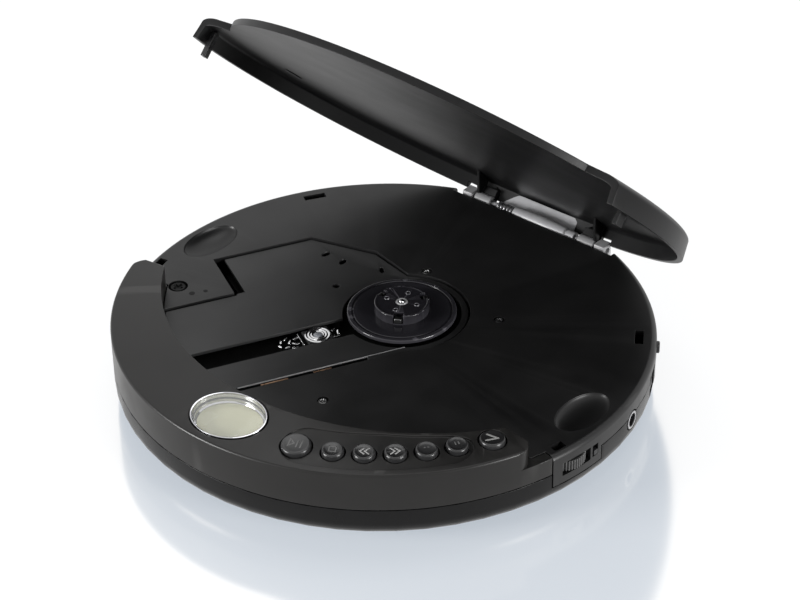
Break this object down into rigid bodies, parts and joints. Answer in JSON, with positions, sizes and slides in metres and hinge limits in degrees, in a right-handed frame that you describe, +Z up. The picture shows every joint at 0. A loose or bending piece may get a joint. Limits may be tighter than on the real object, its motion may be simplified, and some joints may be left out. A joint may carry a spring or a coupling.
{
  "type": "portable disc player",
  "caption": "Round portable disc player with a hinged lid, a crescent key panel with display, a spindle hub and a sliding pickup.",
  "frame": {"origin": "on the surface it stands on, below the centre of the round body", "axes": "+Z up, -Y towards the crescent panel with the display, +Y towards the lid's hinge, +X towards the volume wheel and sockets"},
  "size_m": [0.1441, 0.1467, 0.1048],
  "materials": {
    "case_charcoal": "fine matte grain",
    "panel_satin": "satin painted, metallic sheen",
    "lid_gloss": "smooth gloss",
    "clear_plastic": "clear moulded",
    "key_black": "satin with light marks",
    "black_plastic": "plain moulded",
    "wheel_black": "ribbed edge",
    "socket_plastic": "plain moulded with metal contacts",
    "turntable_plastic": "semi-gloss turned edges",
    "bezel_metal": "dark bright-plated",
    "clear_window": "clear",
    "lcd_glass": "beige-green reflective",
    "lens_glass": "coated lens",
    "bright_metal": "plated",
    "steel": "zinc plated",
    "soft_rubber": "matte",
    "foot_rubber": "matte",
    "circuit_board": "solder mask",
    "flex_film": "thin film"
  },
  "bodies": {
    "body": {"lower_case": "case_charcoal", "upper_case": "case_charcoal", "control_panel": "panel_satin", "hinge_shaft": "bright_metal", "lid_spring": "steel", "button_membrane": "soft_rubber", "key_board": "circuit_board", "display_bezel": "bezel_metal", "display_window": "clear_window", "lcd_panel": "lcd_glass", "spindle_motor": "steel", "mechanism_chassis": "steel", "mechanism_cover": "black_plastic", "guide_rail": "bright_metal", "feed_motor": "steel", "damper_1": "soft_rubber", "damper_2": "soft_rubber", "damper_3": "soft_rubber", "main_board": "circuit_board", "flex_cable": "flex_film", "volume_pot": "steel", "headphone_jack": "socket_plastic", "dc_jack": "socket_plastic", "battery_contact_left": "bright_metal", "battery_contact_right": "bright_metal", "deck_screw": "steel", "mechanism_screw_front": "steel", "mechanism_screw_rear": "steel", "mechanism_screw_side": "steel", "case_screw_front_left": "steel", "case_screw_front_right": "steel", "case_screw_rear_left": "steel", "case_screw_rear_right": "steel", "rubber_foot_front_left": "foot_rubber", "rubber_foot_front_right": "foot_rubber", "rubber_foot_rear_left": "foot_rubber", "rubber_foot_rear_right": "foot_rubber"},
    "lid": {"lid_shell": "lid_gloss", "lid_switch_tab": "clear_plastic"},
    "latch": {"latch_slider": "black_plastic"},
    "open_key": {"open_button": "key_black"},
    "play_key": {"play_button": "key_black"},
    "stop_key": {"stop_button": "key_black"},
    "skip_back_key": {"skip_back_button": "key_black"},
    "skip_forward_key": {"skip_forward_button": "key_black"},
    "mode_key": {"mode_button": "key_black"},
    "program_key": {"program_button": "key_black"},
    "turntable": {"turntable": "turntable_plastic", "spindle_shaft": "bright_metal"},
    "claw_1": {"disc_claw_1": "black_plastic"},
    "claw_2": {"disc_claw_2": "black_plastic"},
    "claw_3": {"disc_claw_3": "black_plastic"},
    "sled": {"pickup_sled": "black_plastic"},
    "lens": {"lens_holder": "black_plastic", "objective_lens": "lens_glass"},
    "lead_screw": {"feed_screw": "bright_metal"},
    "wheel": {"volume_wheel": "wheel_black"},
    "hold_knob": {"hold_switch_knob": "black_plastic"},
    "battery_cover": {"battery_door": "case_charcoal"}
  },
  "joints": [
    {"name": "lid_hinge", "type": "hinge", "parent": "body", "child": "lid", "pos_m": [0, 0.0666, 0.015], "axis": [-1, 0, 0], "range_deg": [-44, 0], "stiffness_Nm_per_rad": 0.02, "springref_deg": 57.3},
    {"name": "turntable_spin", "type": "hinge", "parent": "body", "child": "turntable", "pos_m": [0, 0.0073, 0.0169], "axis": [0, 0, 1], "continuous": true},
    {"name": "claw_1_slide", "type": "slide", "parent": "turntable", "child": "claw_1", "axis": [-0.5225, 0.8526, 0], "range_m": [0, 0.0004], "stiffness_N_per_m": 50},
    {"name": "claw_2_slide", "type": "slide", "parent": "turntable", "child": "claw_2", "axis": [-0.4772, -0.8788, 0], "range_m": [0, 0.0004], "stiffness_N_per_m": 50},
    {"name": "claw_3_slide", "type": "slide", "parent": "turntable", "child": "claw_3", "axis": [0.9997, 0.0262, 0], "range_m": [0, 0.0004], "stiffness_N_per_m": 50},
    {"name": "play_press", "type": "slide", "parent": "body", "child": "play_key", "axis": [-0.0423, 0.1143, -0.9925], "range_m": [0, 0.0005], "stiffness_N_per_m": 300},
    {"name": "stop_press", "type": "slide", "parent": "body", "child": "stop_key", "axis": [-0.0583, 0.107, -0.9925], "range_m": [0, 0.0005], "stiffness_N_per_m": 300},
    {"name": "skip_back_press", "type": "slide", "parent": "body", "child": "skip_back_key", "axis": [-0.0708, 0.0992, -0.9925], "range_m": [0, 0.0005], "stiffness_N_per_m": 300},
    {"name": "skip_forward_press", "type": "slide", "parent": "body", "child": "skip_forward_key", "axis": [-0.082, 0.0901, -0.9925], "range_m": [0, 0.0005], "stiffness_N_per_m": 300},
    {"name": "mode_press", "type": "slide", "parent": "body", "child": "mode_key", "axis": [-0.0921, 0.0798, -0.9925], "range_m": [0, 0.0005], "stiffness_N_per_m": 300},
    {"name": "program_press", "type": "slide", "parent": "body", "child": "program_key", "axis": [-0.1009, 0.0683, -0.9925], "range_m": [0, 0.0005], "stiffness_N_per_m": 300},
    {"name": "open_press", "type": "slide", "parent": "body", "child": "open_key", "axis": [0, 0, -1], "range_m": [0, 0.001], "stiffness_N_per_m": 300},
    {"name": "latch_slide", "type": "slide", "parent": "body", "child": "latch", "axis": [0.5807, 0.8141, 0], "range_m": [-0.001, 0]},
    {"name": "volume_turn", "type": "hinge", "parent": "body", "child": "wheel", "pos_m": [0.06565, -0.00993, 0.0109], "axis": [0, 0, 1], "range_deg": [0, 270]},
    {"name": "hold_slide", "type": "slide", "parent": "body", "child": "hold_knob", "axis": [0, 0, 1], "range_m": [0, 0.0012]},
    {"name": "sled_slide", "type": "slide", "parent": "body", "child": "sled", "axis": [-0.4772, -0.8788, 0], "range_m": [-0.001, 0.0305]},
    {"name": "feed_screw_turn", "type": "hinge", "parent": "body", "child": "lead_screw", "pos_m": [-0.01118, -0.03215, 0.0127], "axis": [-0.4772, -0.8788, 0], "range_deg": [-125, 3665]},
    {"name": "lens_focus", "type": "slide", "parent": "sled", "child": "lens", "axis": [0, 0, 1], "range_m": [-0.0004, 0.0004], "stiffness_N_per_m": 30},
    {"name": "battery_cover_slide", "type": "slide", "parent": "body", "child": "battery_cover", "axis": [0, 1, 0], "range_m": [0, 0.005]}
  ],
  "couplings": [
    {"joint": "feed_screw_turn", "follows": "sled_slide", "rad_per_m": 2094.4},
    {"joint": "latch_slide", "follows": "open_press", "ratio": -1}
  ]
}
